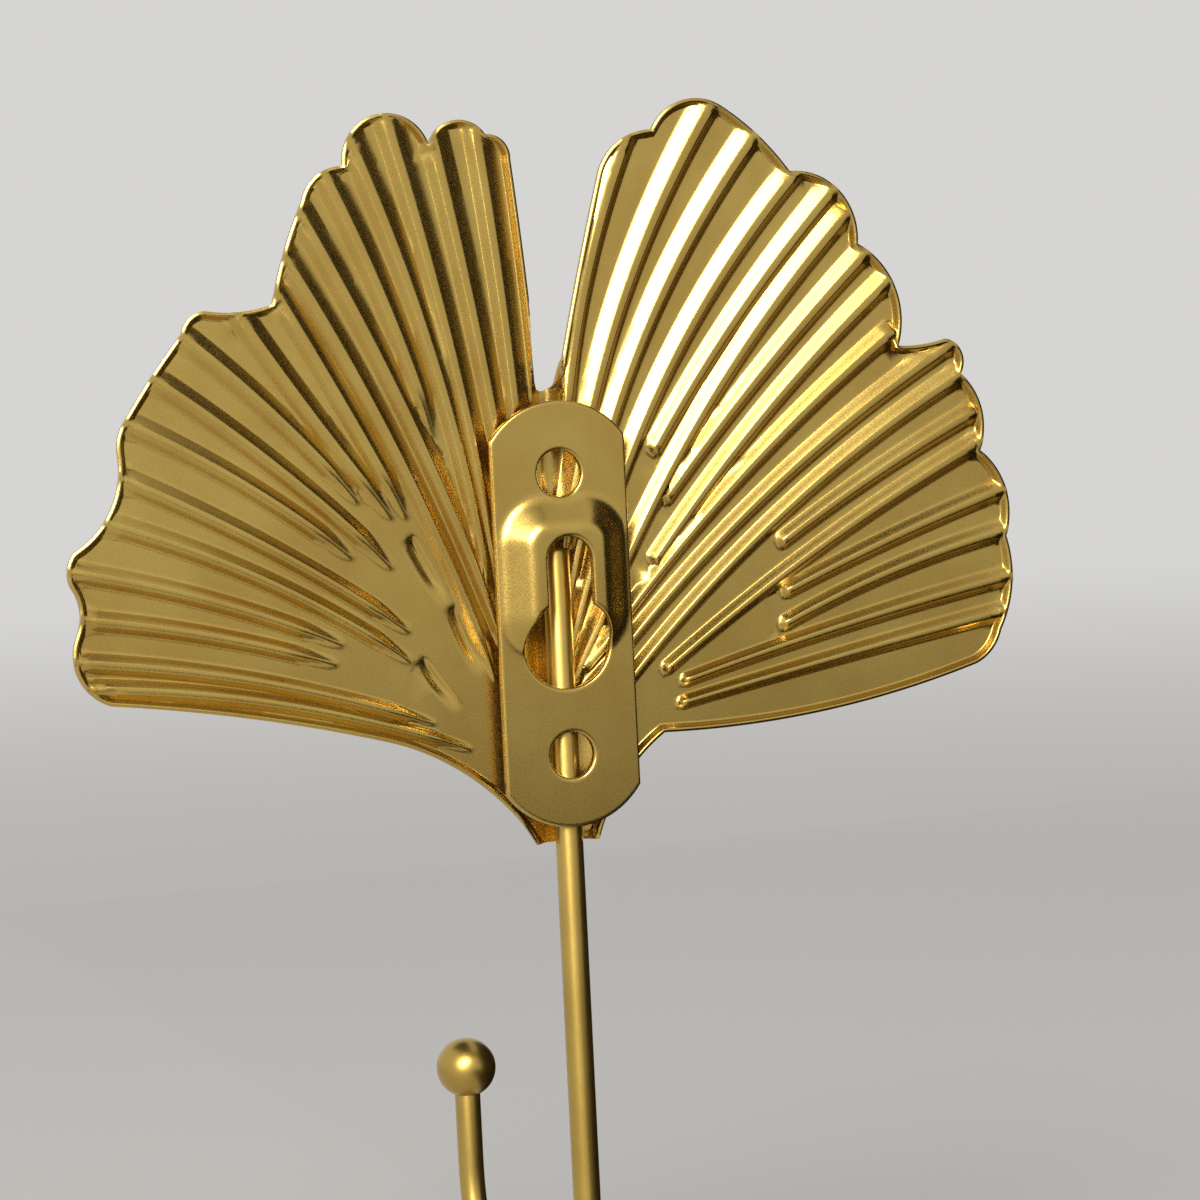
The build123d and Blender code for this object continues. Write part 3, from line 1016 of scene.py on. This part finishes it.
class WALLHOOK_OT_stage(bpy.types.Operator):
    """Lay the pale floor, hang the soft lights and place the camera"""

    bl_idname = "wallhook.stage"
    bl_label = "Set stage"

    def execute(self, context):
        stage = context.scene.wallhook_stage
        floor_height = cad_box[0][2]
        deselect()
        bpy.ops.mesh.primitive_circle_add(vertices=FLOOR_SIDES, radius=FLOOR_RADIUS, fill_type="NGON",
                                          location=(0, 0, floor_height))
        floor = bpy.context.object
        floor.name = "floor"
        floor.data.materials.append(studio_paper("studio_paper", stage.paper, stage.backdrop))

        world = bpy.data.worlds.new("studio")
        world.use_nodes = True
        sky = world.node_tree.nodes["Background"]
        sky.inputs["Color"].default_value = linear(stage.backdrop)
        sky.inputs["Strength"].default_value = 1.0
        context.scene.world = world

        # The key shows in the metal only, as a slanted strip along the right lobe's ribs, and the soft lamp
        # lights the paper only
        key = add_area_light("key", *KEY_LAMP)
        key.visible_diffuse = False
        soft = add_area_light("soft", *SOFT_LAMP)
        soft.visible_glossy = False

        ground = floor_height / MM
        card = black_card("black_card", stage.card)
        add_card("side_card", side_corners(SIDE_CARD_X, SIDE_CARD_Y, (ground, SIDE_CARD_TOP)), card)
        add_card("top_card", level_corners(TOP_CARD_X, TOP_CARD_Y, TOP_CARD_Z), card)
        add_card("floor_card", level_corners(FLOOR_CARD_X, FLOOR_CARD_Y, ground + FLOOR_CARD_LIFT), card)

        camera = bpy.data.objects.new("camera", bpy.data.cameras.new("camera"))
        back = Vector((math.sin(stage.azimuth) * math.cos(stage.elevation),
                       math.cos(stage.azimuth) * math.cos(stage.elevation), math.sin(stage.elevation)))
        right = Vector((0, 0, 1)).cross(back).normalized()
        up = back.cross(right)
        turn, lean = math.cos(stage.roll), math.sin(stage.roll)
        axes = Matrix((right * turn + up * lean, up * turn - right * lean, back)).transposed()
        camera.matrix_world = Matrix.Translation(back * stage.camera_distance * MM) @ axes.to_4x4()
        camera.data.angle = 2 * math.atan(FRAME_PIXELS / 2 * stage.pixel_size / stage.camera_distance)
        camera.data.shift_x = 0.5 - stage.seat_pixel[0] / FRAME_PIXELS
        camera.data.shift_y = stage.seat_pixel[1] / FRAME_PIXELS - 0.5
        camera.data.clip_start = CAMERA_CLIP
        context.scene.collection.objects.link(camera)
        context.scene.camera = camera
        context.scene.view_settings.view_transform = "Standard"
        return {"FINISHED"}


class WALLHOOK_PT_panel(bpy.types.Panel):
    """Sidebar panel that lists the pieces and their settings"""

    bl_label = "Leaf wall hook"
    bl_idname = "WALLHOOK_PT_panel"
    bl_space_type = "VIEW_3D"
    bl_region_type = "UI"
    bl_category = "Wall hook"

    def draw(self, context):
        for operator in OPERATORS:
            self.layout.operator(operator.bl_idname)
        for pointer in GROUPS:
            group = getattr(context.scene, pointer)
            for name in group.bl_rna.properties.keys():
                if name not in ("rna_type", "name"):
                    self.layout.prop(group, name)


GROUPS = {"wallhook_sizes": WallHookSizes, "wallhook_finish": WallHookFinish, "wallhook_stage": WallHookStage}
OPERATORS = (WALLHOOK_OT_leaf, WALLHOOK_OT_plate, WALLHOOK_OT_wire, WALLHOOK_OT_ball, WALLHOOK_OT_stage)
CLASSES = (*GROUPS.values(), *OPERATORS, WALLHOOK_PT_panel)


def register():
    for cls in CLASSES:
        bpy.utils.register_class(cls)
    for name, group in GROUPS.items():
        setattr(bpy.types.Scene, name, PointerProperty(type=group))


def unregister():
    for name in GROUPS:
        delattr(bpy.types.Scene, name)
    for cls in reversed(CLASSES):
        bpy.utils.unregister_class(cls)


def main():
    register()
    bpy.ops.wallhook.leaf()
    bpy.ops.wallhook.plate()
    bpy.ops.wallhook.wire()
    bpy.ops.wallhook.ball()
    bpy.ops.wallhook.stage()


if __name__ == "__main__":
    main()
